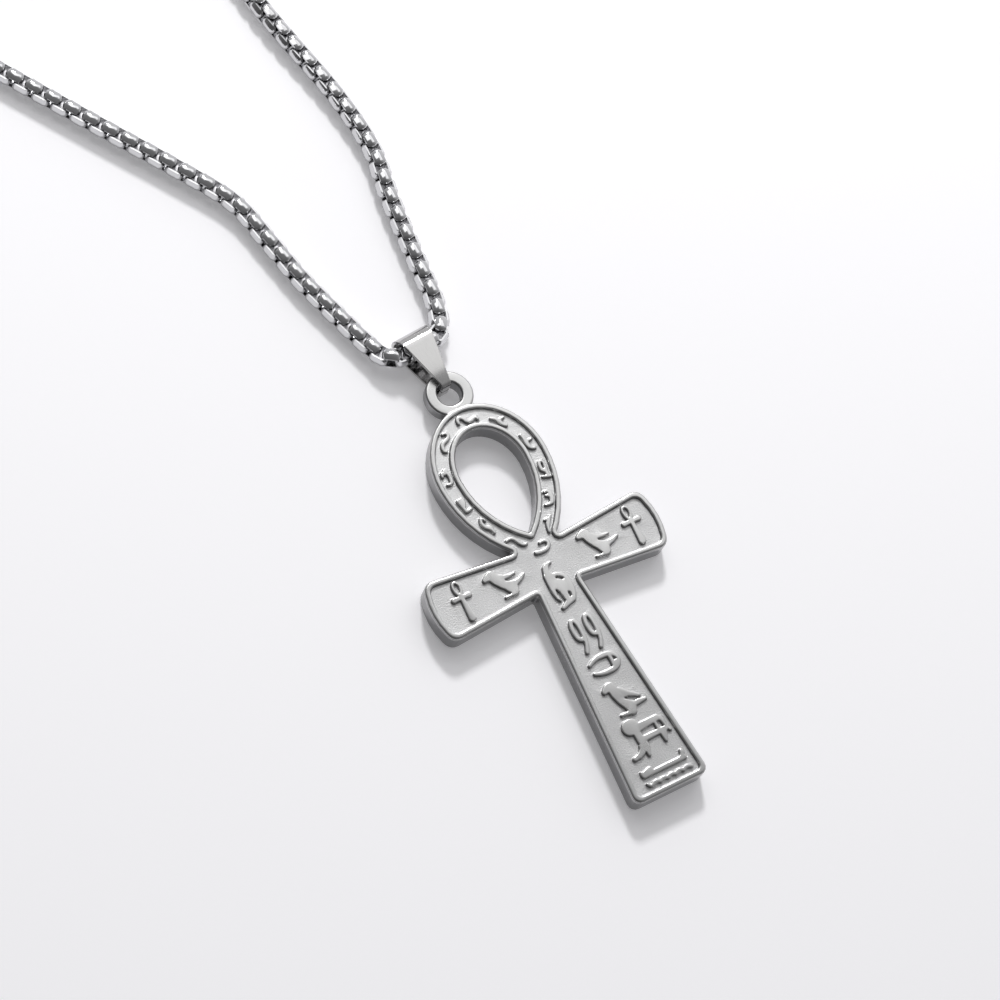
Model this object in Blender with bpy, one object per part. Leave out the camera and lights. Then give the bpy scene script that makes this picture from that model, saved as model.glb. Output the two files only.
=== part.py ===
"""Ankh pendant with raised signs, its folded bail, and a round box chain closed by a clasp.

The pendant lies on its flat back at z = 0, its foot towards -Y and its eye and bail towards +Y.
The origin is on the back face, where the shaft meets the undersides of the arms.
"""
import math

import bmesh
import bpy
from mathutils import Vector
from mathutils.geometry import delaunay_2d_cdt

MM = 0.001
CLEAR = 0.3 * MM            # the gap kept between neighbouring pieces

# Pendant body: heights
THICKNESS = 3.0 * MM        # back face to the top of the rim
FIELD_DEPTH = 0.4 * MM      # how far the field lies below the rim
EDGE = 0.16 * MM            # chamfer on the outer edges
RIM_FLAT = 0.38 * MM        # flat on top of the rim
RIM_SLOPE = 0.10 * MM       # the rim's slope down to the field
SIGN_HEIGHT = 0.36 * MM     # how far the signs stand above the field

# Pendant body: outline
SHAFT_LENGTH = 26.65 * MM   # underside of the arms to the foot
SHAFT_TOP_WIDTH = 5.66 * MM
FOOT_WIDTH = 9.76 * MM
FOOT_CORNER = 0.95 * MM     # rounding of the foot's corners
ARM_SPAN = 30.3 * MM        # tip to tip
ARM_ROOT_HEIGHT = 5.58 * MM     # height of an arm where it leaves the middle
ARM_FLARE_UP = 1.08 * MM    # how much an arm's upper edge rises towards its end
ARM_FLARE_DOWN = 0.98 * MM  # how much its lower edge drops
ARM_BULGE = 0.85 * MM       # how far the curved end stands out
ARM_CORNER = 1.25 * MM
SHAFT_CORNER = 0.25 * MM    # rounding where the arms meet the shaft
LOOP_CORNER = 0.25 * MM     # rounding where the arms meet the loop
CORNER_SHARE = 0.5          # how much of an inset comes off the rounding of an outer corner
LOOP_WIDTH = 14.3 * MM
LOOP_NECK = 5.30 * MM       # width of the loop where it meets the arms
LOOP_WIDEST = 10.42 * MM    # from the top of the arms up to the loop's widest place
LOOP_CROWN = 8.4 * MM       # from the widest place up to the loop's top
EYE_WIDTH = 8.5 * MM        # the opening inside the loop
EYE_CROWN = 5.3 * MM
EYE_DROP = 8.9 * MM         # from the widest place down to the opening's point
EYE_POINT = 0.15 * MM       # rounding of that point

# Ring cast on top of the loop
RING_RADIUS = 2.86 * MM
RING_HOLE = 1.53 * MM
RING_SINK = 0.71 * MM       # how far the ring sinks into the loop
RING_THICKNESS = 1.75 * MM

# Bail: a strip folded round the chain, its narrow tips closed through the ring
STRIP = 0.4 * MM
BAIL_WIDTH = 4.7 * MM
BAIL_TIP_WIDTH = 1.15 * MM
BAIL_LENGTH = 6.0 * MM      # chain's centre to the middle of the closed tips
BAIL_LEAN = math.radians(6.0)
BAIL_TIP_BEND = 0.2 * MM

# Chain, its end rings and the clasp
CHAIN_DIAMETER = 2.5 * MM
CHAIN_STEP = 2.95           # spacing of the tube's points, in diameters
CHAIN_FINE_STEP = 0.6       # the same where it turns through the bail
LINK_WIRE = 0.8 * MM
END_RING_RADIUS = 1.6 * MM  # to the middle of the wire
CLASP_LENGTH = 11.0 * MM    # between the centres of its two eyes
CLASP_WIDTH = 4.6 * MM
CLASP_THICKNESS = 2.4 * MM
CLASP_BODY = 0.84           # length of the body as a share of CLASP_LENGTH
CLASP_EDGE = 0.45 * MM
LUG_RADIUS = 1.4 * MM
LUG_HOLE = 0.85 * MM
LUG_THICKNESS = 0.9 * MM
CLASP_AT = Vector((-38.0, 277.0)) * MM
CLASP_TURN = math.radians(4.0)

# The chain's route on the surface, x and y in millimetres: from the clasp down to the bail ...
ROUTE_DOWN = (
    (-16, 274), (-4, 262), (3, 242), (6, 212), (5, 178), (2.7, 145), (1.6, 112), (3.5, 83.4),
    (6.6, 67.5), (7.2, 59.3), (6.2, 53.3), (5.5, 47.5), (4.9, 41.8), (4.7, 39.3),
)
# ... round through the bail: across it, away from its tips, share of the climb to the fold ...
ROUTE_BAIL = (
    (5.1, 2.9, 0.12), (4.1, 1.1, 0.60), (3.1, 0.25, 0.95), (2.0, 0.0, 1.0), (0.0, 0.0, 1.0),
    (-2.0, 0.0, 1.0), (-3.1, 0.25, 0.95), (-4.0, 1.3, 0.60), (-4.6, 3.4, 0.12),
)
# ... and from the bail back up to the clasp
ROUTE_UP = (
    (-7.3, 41.7), (-8.9, 47.1), (-10.1, 52.9), (-11.6, 59.2), (-16, 66.3), (-20.5, 72.8),
    (-29.1, 85.4), (-43, 106), (-56, 131), (-66, 162), (-70, 194), (-70, 225), (-64, 253),
    (-54, 270),
)

ROUND_STEPS = 4             # straight pieces in a rounded corner
CROWN_STEPS = 11            # points on a quarter of the loop's crown
SIDE_STEPS = 7              # points on the loop's side
END_STEPS = 6               # points on the curved end of an arm
CAP_STEPS = 4               # straight pieces in a stroke's round end ...
WIDE_CAP = 0.32             # ... and twice as many from this radius on, in sheet units
STROKE_TURN = math.radians(24)      # a stroke's bend gets a point for each of these
PLAN_GRID = 1e-5            # points closer than this, in millimetres, are one

FIELD_Z = THICKNESS - FIELD_DEPTH
RIM = EDGE + RIM_FLAT + RIM_SLOPE
WIDEST_Y = ARM_ROOT_HEIGHT + LOOP_WIDEST
LOOP_TOP = WIDEST_Y + LOOP_CROWN
RING_Y = LOOP_TOP + RING_RADIUS - RING_SINK
RING_LOW = STRIP + CLEAR
RING_HIGH = RING_LOW + RING_THICKNESS
FOLD_RADIUS = CHAIN_DIAMETER / 2 + CLEAR
FOLD_Z = STRIP + FOLD_RADIUS

# Signs. Each row is a tapered stroke, and its columns are start x, start y, bend x, bend y,
# end x, end y, width at the start and width at the end, all as drawn on the sign's own sheet.
# One unit of a sheet is a share of the field that the sign stands in, so it grows with it.

WORM = (
    (-1.23, -0.28, -1.28, 0.42, -0.78, 0.37, 0.34, 0.42),
    (-0.78, 0.37, -0.43, 0.27, -0.23, -0.33, 0.42, 0.44),
    (-0.23, -0.33, 0.07, -0.68, 0.62, -0.38, 0.42, 0.40),
    (0.62, -0.38, 1.17, -0.13, 1.14, -0.63, 0.40, 0.34),
)
WING = (
    (-0.97, 0.44, -0.45, 0.34, -0.25, -0.26, 0.34, 0.50),
    (-0.25, -0.26, -0.05, -0.86, 0.33, -1.06, 0.50, 0.34),
    (-0.22, -0.12, 0.20, 0.02, 0.50, 0.04, 0.42, 0.28),
)
FLAME = (
    (-0.62, 1.04, -0.37, 0.51, -0.42, -0.14, 0.30, 0.56),
    (-0.42, -0.14, -0.42, -0.94, 0.21, -1.04, 0.50, 0.36),
    (-0.24, 0.16, 0.06, 0.04, 0.38, 0.16, 0.40, 0.26),
)
LAMP = (
    (0.10, 1.18, -0.30, 1.03, -0.25, 0.13, 0.34, 0.42),
    (-0.25, 0.13, -0.05, -0.12, 0.12, -0.27, 0.42, 0.40),
    (0.32, 1.13, 0.50, 0.43, 0.15, -0.27, 0.28, 0.42),
    (0.15, -0.27, 0.10, -0.67, 0.20, -0.97, 0.42, 0.38),
    (-0.55, -0.75, -0.20, -0.87, 0.33, -1.02, 0.30, 0.34),
)
COIL = (
    (-0.12, 0.87, 0.33, 0.95, 0.43, 0.55, 0.30, 0.50),
    (0.43, 0.55, 0.45, -0.15, 0.08, -0.60, 0.54, 0.50),
    (0.08, -0.60, -0.27, -0.80, -0.77, -0.63, 0.42, 0.26),
    (0.30, 0.20, 0.05, 0.32, -0.18, 0.38, 0.50, 0.24),
)
THORN = (
    (0.65, 0.35, 0.20, -0.07, -0.10, -0.47, 0.26, 0.50),
    (-0.10, -0.47, -0.37, -0.87, -0.42, -1.40, 0.46, 0.26),
    (0.15, 0.08, -0.10, 0.11, -0.25, 0.08, 0.45, 0.22),
)
SWAN = (
    (0.25, 0.96, 0.80, 1.14, 0.83, 0.59, 0.28, 0.38),
    (0.83, 0.59, 0.80, 0.29, 0.05, 0.04, 0.38, 0.42),
    (0.05, 0.04, -0.65, -0.21, -0.57, -0.96, 0.42, 0.36),
    (-0.57, -0.96, -0.50, -1.16, -0.30, -1.16, 0.34, 0.26),
)
ZIGZAG = (
    (-0.40, 0.48, -0.38, 0.92, -0.24, 0.95, 0.26, 0.30),
    (-0.24, 0.95, -0.10, 0.75, -0.04, 0.70, 0.30, 0.32),
    (-0.04, 0.70, 0.06, 1.10, 0.20, 1.14, 0.32, 0.34),
    (0.20, 1.14, 0.55, 0.31, 0.30, -0.49, 0.34, 0.40),
    (0.30, -0.49, 0.15, -0.79, -0.30, -0.64, 0.38, 0.30),
)
CROOK = (
    (-0.47, 0.72, -0.27, -0.06, -0.12, -0.76, 0.34, 0.40),
    (-0.42, 0.72, 0.08, 0.89, 0.08, 0.49, 0.36, 0.50),
    (0.08, 0.49, 0.08, 0.14, -0.07, -0.16, 0.50, 0.30),
    (-0.12, -0.81, 0.28, -0.81, 0.53, -0.68, 0.36, 0.34),
    (-0.27, 0.54, -0.17, 0.24, -0.17, -0.06, 0.50, 0.40),
)
SNAKE = (
    (-0.28, 0.93, -0.68, 0.35, -0.13, -0.25, 0.32, 0.44),
    (-0.13, -0.25, 0.37, -0.55, 0.42, -1.20, 0.46, 0.28),
    (-0.28, 0.93, 0.07, 0.90, 0.09, 0.55, 0.30, 0.24),
    (0.07, -0.20, 0.32, -0.25, 0.45, -0.55, 0.30, 0.24),
)
RIPPLE = (
    (-0.68, -0.01, 0.12, 0.32, 0.47, -0.48, 0.28, 0.42),
    (0.47, -0.48, 0.82, -1.38, 1.32, -1.21, 0.42, 0.34),
)
HOOK = (
    (-0.95, -0.48, 0.50, -0.85, 0.90, -0.12, 0.44, 0.42),
    (0.90, -0.12, 1.10, 0.48, 0.40, 0.50, 0.42, 0.36),
    (0.40, 0.50, 0.12, 0.52, 0.00, 0.40, 0.36, 0.30),
)
BIRD = (
    (-1.25, 1.30, -0.85, 0.30, 0.20, -0.65, 1.20, 1.25),
    (-1.50, 1.30, -1.90, 1.25, -2.20, 1.08, 1.05, 0.50),
    (-0.50, 0.75, 0.30, 0.40, 1.42, 0.56, 0.75, 0.24),
    (0.30, -0.60, 1.40, -0.65, 2.38, 0.02, 0.85, 0.28),
    (0.30, -0.70, 0.40, -1.10, 0.42, -1.38, 1.60, 1.05),
    (0.50, -1.72, -0.20, -1.72, -0.88, -1.74, 0.36, 0.28),
)
BIRD_CUTS = (
    (0.05, 0.20, 0.55, -0.05, 1.20, 0.03, 0.20, 0.46),
)
SMALL_ANKH = (
    (0.00, 0.62, -0.42, 1.10, -0.42, 1.72, 0.40, 0.28),
    (-0.42, 1.72, -0.40, 2.36, 0.02, 2.36, 0.28, 0.30),
    (0.00, 0.62, 0.42, 1.10, 0.42, 1.72, 0.40, 0.28),
    (0.42, 1.72, 0.40, 2.36, -0.02, 2.36, 0.28, 0.30),
    (-1.00, 0.43, -0.50, 0.43, 0.00, 0.43, 0.60, 0.42),
    (0.00, 0.43, 0.50, 0.43, 1.00, 0.43, 0.42, 0.60),
    (0.00, 0.40, 0.00, -1.00, 0.00, -2.24, 0.44, 0.82),
)
MASK = (
    (-0.62, 1.60, -0.72, 0.60, -0.70, -0.20, 1.10, 1.10),
    (-0.10, 1.15, 1.00, 1.20, 1.08, 0.00, 0.95, 1.00),
    (1.08, 0.00, 1.15, -1.20, 0.62, -1.95, 1.00, 0.90),
    (0.10, 0.90, 0.10, 0.00, 0.20, -1.20, 1.30, 0.95),
    (-0.65, 1.60, -0.66, 2.10, -0.48, 2.50, 0.85, 0.72),
    (-0.48, 2.50, -0.20, 2.95, 0.45, 2.95, 0.72, 0.22),
    (0.50, -2.00, 0.00, -2.20, -0.88, -2.62, 0.85, 0.40),
    (-1.03, -0.20, -1.08, -1.20, -0.74, -1.62, 0.42, 0.34),
    (0.05, -0.90, 0.10, -1.40, 0.15, -1.90, 0.80, 0.70),
)
MASK_CUTS = (
    (0.16, 0.98, 0.45, 0.92, 0.74, 0.62, 0.30, 0.34),
    (0.62, -1.20, 0.62, -1.40, 0.60, -1.60, 0.30, 0.32),
    (-0.62, -0.42, -0.54, -1.00, -0.51, -1.60, 0.26, 0.44),
)
NINE = (
    (0.05, 1.22, -0.42, 1.25, -0.45, 0.00, 0.46, 0.48),
    (-0.45, 0.00, -0.46, -1.20, 0.02, -1.24, 0.48, 0.50),
    (0.05, 1.22, 0.48, 1.15, 0.45, -0.20, 0.46, 0.46),
    (0.45, -0.20, 0.52, -1.75, -0.18, -2.85, 0.46, 0.44),
    (0.02, -1.24, 0.30, -1.20, 0.42, -0.85, 0.50, 0.36),
)
HORSESHOE = (
    (-1.70, 0.52, -0.80, 1.13, 0.35, 1.05, 0.34, 0.62),
    (0.35, 1.05, 1.75, 0.95, 1.80, 0.05, 0.62, 0.38),
    (1.80, 0.05, 1.75, -0.85, 0.50, -0.93, 0.38, 0.56),
    (0.50, -0.93, -0.70, -1.05, -1.62, -0.58, 0.56, 0.36),
    (0.98, 0.80, 1.02, 0.10, 0.96, -0.70, 0.42, 0.42),
    (1.40, -0.20, 1.40, -0.40, 1.35, -0.60, 0.50, 0.50),
)
PERCHED = (
    (-0.97, 1.70, -0.95, 0.30, 0.03, -1.20, 1.10, 1.35),
    (-1.30, 1.70, -1.65, 1.60, -1.93, 1.40, 1.00, 0.60),
    (-0.35, 0.80, 0.45, 0.15, 1.57, -0.52, 1.00, 0.34),
    (0.05, -1.00, 0.95, -1.25, 2.07, -1.18, 0.90, 0.34),
    (0.01, -1.30, 0.01, -1.60, -0.01, -1.85, 1.40, 0.95),
    (-0.15, -1.98, -0.85, -1.88, -1.47, -1.86, 0.50, 0.32),
)
PERCHED_CUTS = (
    (-0.10, -0.18, 0.25, -0.40, 0.85, -0.70, 0.24, 0.42),
)
BEAST = (
    (-1.04, 1.55, -0.94, 1.55, -0.84, 1.55, 1.90, 1.90),
    (-0.40, 1.15, 0.80, 1.28, 2.45, 1.28, 1.00, 0.72),
    (2.45, 1.28, 2.95, 1.20, 2.90, 0.30, 0.70, 0.36),
    (2.90, 0.30, 2.93, -0.20, 3.22, -0.60, 0.36, 0.28),
    (-0.60, 0.90, -0.62, -0.10, -0.45, -1.10, 0.85, 1.00),
    (-0.20, -0.28, 1.20, -0.22, 2.70, -0.25, 0.70, 0.60),
    (1.97, 1.10, 1.97, 0.50, 1.97, 0.00, 0.34, 0.34),
    (2.30, -0.45, 2.20, -1.00, 2.14, -1.50, 0.85, 0.34),
    (-0.35, -1.10, -0.42, -1.70, -0.50, -2.18, 0.80, 0.38),
    (-0.75, -1.00, -1.05, -1.85, -2.32, -1.95, 0.85, 0.52),
)
BENCH = (
    (-2.38, -0.30, 0.30, -0.28, 3.05, -0.28, 0.50, 0.52),
    (2.40, -0.25, 3.00, -0.20, 3.07, 0.52, 0.52, 0.50),
    (-2.30, -0.05, -1.80, 0.05, -1.32, 0.15, 0.50, 0.66),
    (-2.52, -0.15, -2.52, 0.05, -2.50, 0.22, 0.32, 0.26),
)
WAVE = (-0.52, -0.10, 0.00, 0.32, 0.52, -0.10, 0.42, 0.42)
WAVE_TAIL = (-0.52, -0.10, -0.85, -0.22, -1.06, 0.22, 0.40, 0.28)

# Where the signs stand. On the loop: sign, angle in degrees from +X, and the size of a unit as
# a share of the room between the two rims along that ray
LOOP_SIGNS = (
    (WORM, 88.5, 0.55), (WING, 54, 0.57), (FLAME, 13, 0.61), (LAMP, -26, 0.58),
    (COIL, -55, 0.55), (THORN, -72.5, 0.53), (SWAN, 126, 0.57), (ZIGZAG, 171, 0.61),
    (CROOK, 207, 0.59), (SNAKE, 235, 0.55), (RIPPLE, 255, 0.51),
)
# On the arms: sign, its cuts, share of half the arm span, rise in units and turn in degrees
ARM_UNIT_SHARE = 0.2326     # a unit as a share of the height of an arm's field at the middle
ARM_SIGNS = (
    (SMALL_ANKH, (), -0.733, 0.20, 0), (BIRD, BIRD_CUTS, -0.363, 0.20, 0),
    (BIRD, BIRD_CUTS, 0.459, 0.10, -7), (SMALL_ANKH, (), 0.777, 0.20, 0),
    (HOOK, (), 0.030, 2.31, 0),
)
# On the shaft: sign, its cuts, share of the shaft's length down from the arms, units across, and
# the size of a unit as a share of the field's width there
SHAFT_SIGNS = (
    (MASK, MASK_CUTS, 0.000, 0.0, 0.228), (NINE, (), 0.2113, -0.84, 0.191),
    (NINE, (), 0.2113, 1.01, 0.191), (HORSESHOE, (), 0.396, 0.10, 0.167),
    (PERCHED, PERCHED_CUTS, 0.559, 0.35, 0.150), (BEAST, (), 0.748, 0.0, 0.134),
    (BENCH, (), 0.892, 0.0, 0.124), ((WAVE_TAIL, WAVE), (), 0.9465, -1.42, 0.121),
    ((WAVE,), (), 0.9465, -0.39, 0.121), ((WAVE,), (), 0.9465, 0.64, 0.121),
    ((WAVE,), (), 0.9465, 1.67, 0.121), ((WAVE,), (), 0.9465, 2.70, 0.121),
)


def clear_scene():
    for thing in list(bpy.data.objects):
        bpy.data.objects.remove(thing, do_unlink=True)


def metal(name, colour, roughness):
    """A plain steel finish."""
    material = bpy.data.materials.new(name)
    material.use_nodes = True
    shader = material.node_tree.nodes["Principled BSDF"]
    shader.inputs["Base Color"].default_value = (*colour, 1.0)
    shader.inputs["Metallic"].default_value = 1.0
    shader.inputs["Roughness"].default_value = roughness
    return material


def add_object(name, mesh_builder, material):
    """Turn a bmesh into an object of its own."""
    mesh = bpy.data.meshes.new(name)
    mesh_builder.to_mesh(mesh)
    mesh_builder.free()
    thing = bpy.data.objects.new(name, mesh)
    bpy.context.scene.collection.objects.link(thing)
    thing.data.materials.append(material)
    return thing


def add_boolean(thing, other, operation):
    """Join or cut with another closed solid, which is itself left out of the model."""
    modifier = thing.modifiers.new(other.name, "BOOLEAN")
    modifier.operation = operation
    modifier.solver = "EXACT"
    modifier.object = other
    other.hide_render = True
    other.display_type = "WIRE"


# Outlines: lists of corners, each a point with the radius that rounds it, counter-clockwise

def arc_side(widest_x, end_x, rise, widest_y):
    """Points on the arc from a lower end up to the widest place, where it stands upright."""
    drop = widest_x - end_x
    radius = (rise * rise + drop * drop) / (2 * drop)
    sweep = math.atan2(rise, radius - drop)
    centre = Vector((widest_x - radius, widest_y))
    points = []
    for step in range(SIDE_STEPS + 1):
        angle = -sweep * (1 - step / SIDE_STEPS)
        points.append(centre + radius * Vector((math.cos(angle), math.sin(angle))))
    return points


def crown(half_width, height, widest_y):
    """Points on a quarter ellipse above the widest place, without its top."""
    points = []
    for step in range(1, CROWN_STEPS):
        angle = math.pi / 2 * step / CROWN_STEPS
        points.append(Vector((half_width * math.cos(angle), widest_y + height * math.sin(angle))))
    return points


def mirrored(right_half):
    """The right half of an outline, followed by its mirror image on the way back."""
    left_half = []
    for point, radius in reversed(right_half):
        if abs(point.x) > PLAN_GRID * MM:
            left_half.append((Vector((-point.x, point.y)), radius))
    return right_half + left_half


def body_corners():
    end_x = ARM_SPAN / 2 - ARM_BULGE
    low = -ARM_FLARE_DOWN
    high = ARM_ROOT_HEIGHT + ARM_FLARE_UP
    half_height = (high - low) / 2
    end_radius = (half_height ** 2 + ARM_BULGE ** 2) / (2 * ARM_BULGE)
    end_sweep = math.asin(half_height / end_radius)
    end_centre = Vector((ARM_SPAN / 2 - end_radius, (high + low) / 2))
    corners = [
        (Vector((FOOT_WIDTH / 2, -SHAFT_LENGTH)), FOOT_CORNER),
        (Vector((SHAFT_TOP_WIDTH / 2, 0.0)), SHAFT_CORNER),
        (Vector((end_x, low)), ARM_CORNER),
    ]
    for step in range(1, END_STEPS):
        angle = end_sweep * (2 * step / END_STEPS - 1)
        corners.append((end_centre + end_radius * Vector((math.cos(angle), math.sin(angle))), 0))
    corners.append((Vector((end_x, high)), ARM_CORNER))
    side = arc_side(LOOP_WIDTH / 2, LOOP_NECK / 2, LOOP_WIDEST, WIDEST_Y)
    corners.append((side[0], LOOP_CORNER))
    corners += [(point, 0) for point in side[1:]]
    corners += [(point, 0) for point in crown(LOOP_WIDTH / 2, LOOP_CROWN, WIDEST_Y)]
    corners.append((Vector((0.0, LOOP_TOP)), 0))
    return mirrored(corners)


def eye_corners():
    side = arc_side(EYE_WIDTH / 2, 0.0, EYE_DROP, WIDEST_Y)
    corners = [(Vector((0.0, WIDEST_Y - EYE_DROP)), EYE_POINT)]
    corners += [(point, 0) for point in side[1:]]
    corners += [(point, 0) for point in crown(EYE_WIDTH / 2, EYE_CROWN, WIDEST_Y)]
    corners.append((Vector((0.0, WIDEST_Y + EYE_CROWN)), 0))
    return mirrored(corners)


def outline(corners, inset, share=1.0):
    """The rounded outline, moved inwards by the inset, or outwards where that is negative.

    The rounding of the corners that stand out changes by that share of the inset.
    """
    moved = []
    for index, (here, radius) in enumerate(corners):
        way_in = (here - corners[index - 1][0]).normalized()
        way_out = (corners[(index + 1) % len(corners)][0] - here).normalized()
        normal_in = Vector((-way_in.y, way_in.x))
        normal_out = Vector((-way_out.y, way_out.x))
        shift = (normal_in + normal_out) * (inset / (1 + normal_in.dot(normal_out)))
        if radius > 0:
            stands_out = way_in.cross(way_out) > 0
            radius = max(radius - inset * share if stands_out else radius + inset, EDGE / 4)
        moved.append((here + shift, radius))
    points = []
    for index, (here, radius) in enumerate(moved):
        if radius == 0:
            points.append(here)
            continue
        points += corner_arc(moved[index - 1][0], here, moved[(index + 1) % len(moved)][0], radius)
    return points


def corner_arc(before, here, after, radius):
    """The arc that rounds one corner."""
    to_before = (before - here).normalized()
    to_after = (after - here).normalized()
    half = to_before.angle(to_after) / 2
    centre = here + (to_before + to_after).normalized() * (radius / math.sin(half))
    start = here + to_before * (radius / math.tan(half)) - centre
    sweep = math.pi - 2 * half
    if start.cross(here - centre) < 0:
        sweep = -sweep
    points = []
    for step in range(ROUND_STEPS + 1):
        angle = sweep * step / ROUND_STEPS
        turned = Vector((start.x * math.cos(angle) - start.y * math.sin(angle),
                         start.x * math.sin(angle) + start.y * math.cos(angle)))
        points.append(centre + turned)
    return points


# Signs

def stroke_outline(row, place, unit, turn):
    """The outline of one tapered, round-ended stroke, counter-clockwise."""
    start, bend, end = Vector(row[0:2]), Vector(row[2:4]), Vector(row[4:6])
    width_from, width_to = row[6:8]
    bending = (bend - start).angle(end - bend, 0.0)
    steps = 1 + math.ceil(bending / STROKE_TURN)
    right, left, ways = [], [], []
    for step in range(steps + 1):
        share = step / steps
        middle = start.lerp(bend, share).lerp(bend.lerp(end, share), share)
        way = (bend - start).lerp(end - bend, share).normalized()
        half = (width_from + (width_to - width_from) * share) / 2
        side = Vector((way.y, -way.x)) * half
        right.append(middle + side)
        left.append(middle - side)
        ways.append(way)
    end_cap = cap_points(end, ways[-1], width_to / 2)
    start_cap = cap_points(start, -ways[0], width_from / 2)
    right, left = unfolded(right, ways), unfolded(left, ways)
    points = right + end_cap + list(reversed(left)) + start_cap
    cosine, sine = math.cos(turn), math.sin(turn)
    placed = []
    for point in points:
        turned = Vector((point.x * cosine - point.y * sine, point.x * sine + point.y * cosine))
        placed.append(place + turned * unit)
    return placed


def unfolded(side, ways):
    """One side of a stroke without the points where a tight bend folds it back on itself."""
    kept = [side[0]]
    for point, way in zip(side[1:-1], ways[1:-1]):
        if (point - kept[-1]).dot(way) > 0 and (side[-1] - point).dot(way) > 0:
            kept.append(point)
    return kept + [side[-1]]


def cap_points(centre, way, radius):
    """The inner points of a half circle that closes a stroke, from its right to its left."""
    points = []
    steps = CAP_STEPS if radius < WIDE_CAP else 2 * CAP_STEPS
    for step in range(1, steps):
        angle = math.pi * step / steps - math.pi / 2
        turned = Vector((way.x * math.cos(angle) - way.y * math.sin(angle),
                         way.x * math.sin(angle) + way.y * math.cos(angle)))
        points.append(centre + turned * radius)
    return points


def ray_length(points, centre, angle):
    """How far a ray from the centre runs before it meets an outline."""
    way = Vector((math.cos(angle), math.sin(angle)))
    lengths = []
    for index, here in enumerate(points):
        before = points[index - 1] - centre
        edge = here - points[index - 1]
        slope = way.cross(edge)
        if abs(slope) < 1e-12:
            continue
        share = before.cross(way) / slope
        length = before.cross(edge) / slope
        if 0 <= share <= 1 and length > 0:
            lengths.append(length)
    return min(lengths)


def sign_outlines():
    """All the strokes, and the cuts made in them, as outlines on the field."""
    raised, cut = [], []

    def add(strokes, cuts, place, unit, degrees=0.0):
        for row in strokes:
            raised.append(stroke_outline(row, place, unit, math.radians(degrees)))
        for row in cuts:
            cut.append(stroke_outline(row, place, unit, math.radians(degrees)))

    centre = Vector((0.0, WIDEST_Y))
    band_outside = outline(body_corners(), RIM, CORNER_SHARE)
    band_inside = outline(eye_corners(), -RIM, CORNER_SHARE)
    for strokes, degrees, share in LOOP_SIGNS:
        angle = math.radians(degrees)
        near = ray_length(band_inside, centre, angle)
        far = ray_length(band_outside, centre, angle)
        way = Vector((math.cos(angle), math.sin(angle)))
        add(strokes, (), centre + way * (near + far) / 2, (far - near) * share)

    unit = (ARM_ROOT_HEIGHT - 2 * RIM) * ARM_UNIT_SHARE
    for strokes, cuts, across, rise, turn in ARM_SIGNS:
        place = Vector((across * ARM_SPAN / 2, ARM_ROOT_HEIGHT / 2 + rise * unit))
        add(strokes, cuts, place, unit, turn)

    for strokes, cuts, down, across, share in SHAFT_SIGNS:
        width = SHAFT_TOP_WIDTH + (FOOT_WIDTH - SHAFT_TOP_WIDTH) * down - 2 * RIM
        unit = width * share
        add(strokes, cuts, Vector((across * unit, -down * SHAFT_LENGTH)), unit)
    return raised, cut


# Meshes

def add_rows(builder, rows):
    """Rings of points joined row to row, for outlines that all have the same number of points."""
    rings = [[builder.verts.new((point.x, point.y, height)) for point in points]
             for points, height in rows]
    for lower, upper in zip(rings, rings[1:]):
        for index in range(len(lower)):
            builder.faces.new((lower[index - 1], lower[index], upper[index], upper[index - 1]))
    return rings


def fill_plan(builder, outer, hole, height, face_up, raised=(), cut=(), lift=0.0):
    """Fill between two rings with triangles, and lift the signs out of them."""
    outer_points = [vert.co.xy for vert in outer]
    hole_points = [vert.co.xy for vert in hole]
    polygons = [outer_points, hole_points] + list(raised) + list(cut)
    points, faces = [], []
    for polygon in polygons:
        faces.append(list(range(len(points), len(points) + len(polygon))))
        points += [point / MM for point in polygon]
    flat, _, triangles, vert_sources, _, face_sources = delaunay_2d_cdt(
        points, [], faces, 0, PLAN_GRID, True)
    rim_verts = list(outer) + list(hole)
    raised_ids = set(range(2, 2 + len(raised)))
    cut_ids = set(range(2 + len(raised), len(polygons)))
    low_verts, high_verts = {}, {}

    def low(index):
        if index not in low_verts:
            known = [source for source in vert_sources[index] if source < len(rim_verts)]
            if known:
                low_verts[index] = rim_verts[known[0]]
            else:
                place = flat[index] * MM
                low_verts[index] = builder.verts.new((place.x, place.y, height))
        return low_verts[index]

    def high(index):
        if index not in high_verts:
            place = flat[index] * MM
            high_verts[index] = builder.verts.new((place.x, place.y, height + lift))
        return high_verts[index]

    lifted_edges = set()
    lifted = []
    for triangle, sources in zip(triangles, face_sources):
        sources = set(sources)
        if 0 not in sources or 1 in sources:
            continue
        if sources & raised_ids and not sources & cut_ids:
            lifted.append(triangle)
            for side in range(3):
                lifted_edges.add((triangle[side], triangle[(side + 1) % 3]))
            continue
        corners = [low(index) for index in triangle]
        builder.faces.new(corners if face_up else reversed(corners))
    for triangle in lifted:
        builder.faces.new([high(index) for index in triangle])
    for first, second in lifted_edges:
        if (second, first) not in lifted_edges:
            builder.faces.new((low(first), low(second), high(second), high(first)))


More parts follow.
